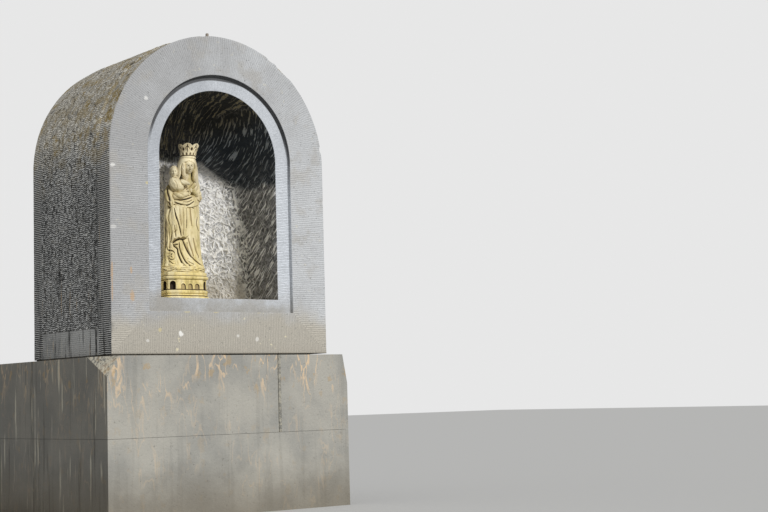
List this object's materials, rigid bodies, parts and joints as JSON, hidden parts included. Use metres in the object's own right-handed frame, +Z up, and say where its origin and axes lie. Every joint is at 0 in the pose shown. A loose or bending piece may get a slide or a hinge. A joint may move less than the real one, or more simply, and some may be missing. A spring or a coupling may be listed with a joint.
{
  "type": "wayside shrine",
  "caption": "Wayside shrine: a round-topped stone block with a sunk frame and a deep arched niche, holding a crowned mother-and-child statuette, on a plinth of large blocks",
  "frame": {"origin": "middle of the plinth's underside, on the ground", "axes": "+Z up, -Y the way the niche opens, +X to the right of someone facing the niche"},
  "size_m": [0.61, 0.56, 1.0545],
  "materials": {
    "plinth_stone": "rough, weathered, streaked",
    "mortar": "rough lime mortar",
    "dressed_stone": "finely tooled, matt",
    "iron": "rusted",
    "cast_stone": "matt, weathered cream"
  },
  "bodies": {
    "root": {"plinth_left_stone": "plinth_stone", "plinth_right_stone": "plinth_stone", "plinth_front_stone": "plinth_stone", "plinth_back_stone": "plinth_stone", "bed_mortar": "mortar", "niche_block": "dressed_stone", "finial_dowel": "iron", "statue_foot_slab": "cast_stone", "statue_arcade": "cast_stone", "statue_cornice": "cast_stone", "ground": "cast_stone", "robe": "cast_stone", "bodice": "cast_stone", "mantle": "cast_stone", "apron_fold": "cast_stone", "waist_swag": "cast_stone", "head": "cast_stone", "veil": "cast_stone", "crown": "cast_stone", "child_body": "cast_stone", "child_head": "cast_stone", "child_arm": "cast_stone", "right_arm": "cast_stone", "left_arm": "cast_stone"}
  },
  "joints": []
}
